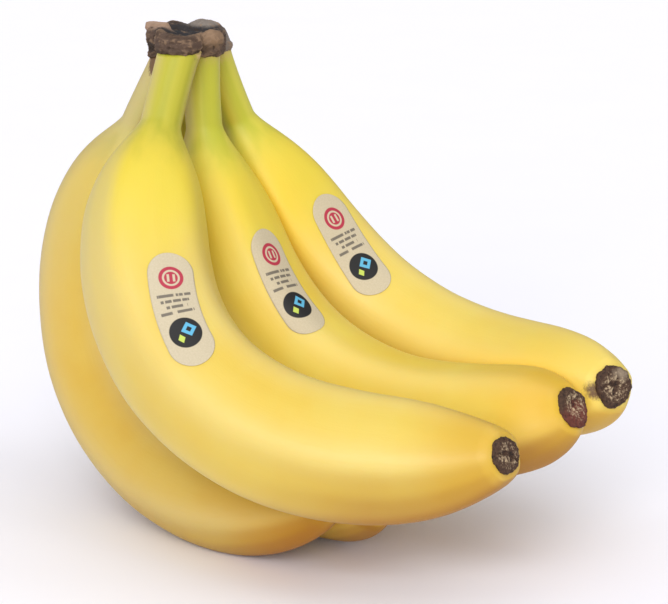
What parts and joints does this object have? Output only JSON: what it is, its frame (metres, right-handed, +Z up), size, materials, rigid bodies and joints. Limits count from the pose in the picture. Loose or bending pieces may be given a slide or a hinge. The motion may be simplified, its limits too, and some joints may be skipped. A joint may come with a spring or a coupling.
{
  "type": "hand of bananas",
  "caption": "Hand of ripe yellow bananas joined by greenish necks to one dark cut crown, with dried blossom ends and blank oval labels, lying on its outer row.",
  "frame": {"origin": "middle of the hand's box, on the surface it lies on", "axes": "+X from the crown towards the blossom tips, +Z up, +Y to the back of the row, away from the side with the front label"},
  "size_m": [0.1801, 0.1279, 0.1467],
  "materials": {
    "peel": "satin banana peel, yellow with green necks",
    "crown": "dry, rough, cut",
    "blossom": "dry, rough",
    "label": "matt beige paper"
  },
  "bodies": {
    "root": {"crown": "crown", "banana_outer_front": "peel", "banana_inner_front": "peel", "banana_inner_middle": "peel", "banana_inner_back": "peel", "banana_outer_back": "peel", "blossom_end_outer_front": "blossom", "blossom_end_inner_front": "blossom", "blossom_end_inner_middle": "blossom", "blossom_end_inner_back": "blossom", "blossom_end_outer_back": "blossom", "label_front": "label", "label_middle": "label", "label_back": "label"}
  },
  "joints": []
}
